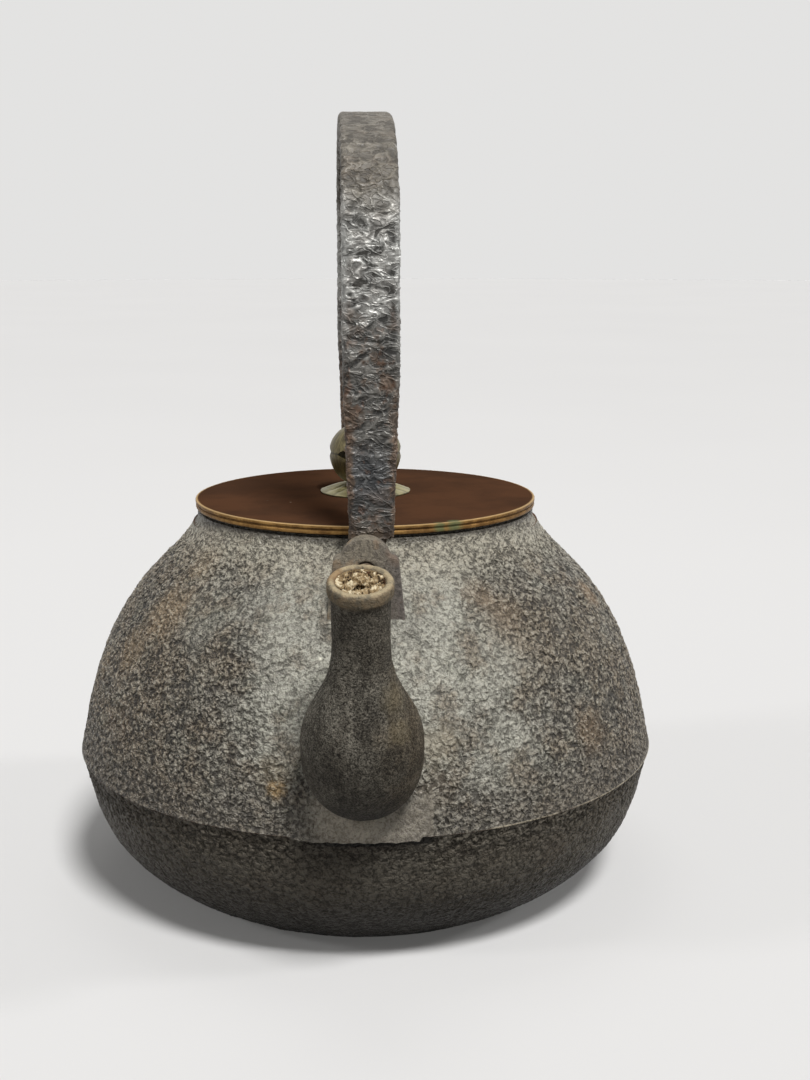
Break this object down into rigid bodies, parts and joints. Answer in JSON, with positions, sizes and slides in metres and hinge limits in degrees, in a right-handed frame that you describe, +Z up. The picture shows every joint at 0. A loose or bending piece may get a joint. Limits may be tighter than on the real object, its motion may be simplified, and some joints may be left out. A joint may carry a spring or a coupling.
{
  "type": "iron kettle",
  "caption": "Round cast iron tea kettle with a short upright spout, a flat bronze lid with a pierced ball knob, and a forged strap handle that swings in two ears.",
  "frame": {"origin": "on the ground at the centre of the base, on the kettle's own axis", "axes": "+Z up, -Y towards the spout, +X to the right when the spout points at you"},
  "size_m": [0.176, 0.2018, 0.23],
  "materials": {
    "cast_iron": "grainy cast skin, worn grey with brown rust",
    "smooth_iron": "smooth dark cast skin",
    "lid_bronze": "red-brown patina, worn golden at the rim",
    "pale_brass": "worn satin",
    "knob_brass": "olive-gold, brushed",
    "forged_iron": "wrinkled forged skin with rust"
  },
  "bodies": {
    "kettle": {"kettle_body": "cast_iron", "spout": "smooth_iron", "ear_front": "smooth_iron", "ear_rear": "smooth_iron"},
    "lid": {"lid_plate": "lid_bronze", "lid_flange": "lid_bronze", "knob_seat": "pale_brass", "knob_rivet": "pale_brass", "knob_lower_shell": "knob_brass", "knob_upper_shell": "knob_brass", "rivet_washer": "pale_brass"},
    "handle": {"handle_strap": "forged_iron", "handle_hook_front": "forged_iron", "handle_hook_rear": "forged_iron"}
  },
  "joints": [
    {"name": "lid_lift", "type": "slide", "parent": "kettle", "child": "lid", "axis": [0, 0, 1], "range_m": [0, 0.06]},
    {"name": "handle_swing", "type": "hinge", "parent": "kettle", "child": "handle", "pos_m": [0, 0, 0.1082], "axis": [0, 1, 0], "range_deg": [-60, 60]}
  ]
}
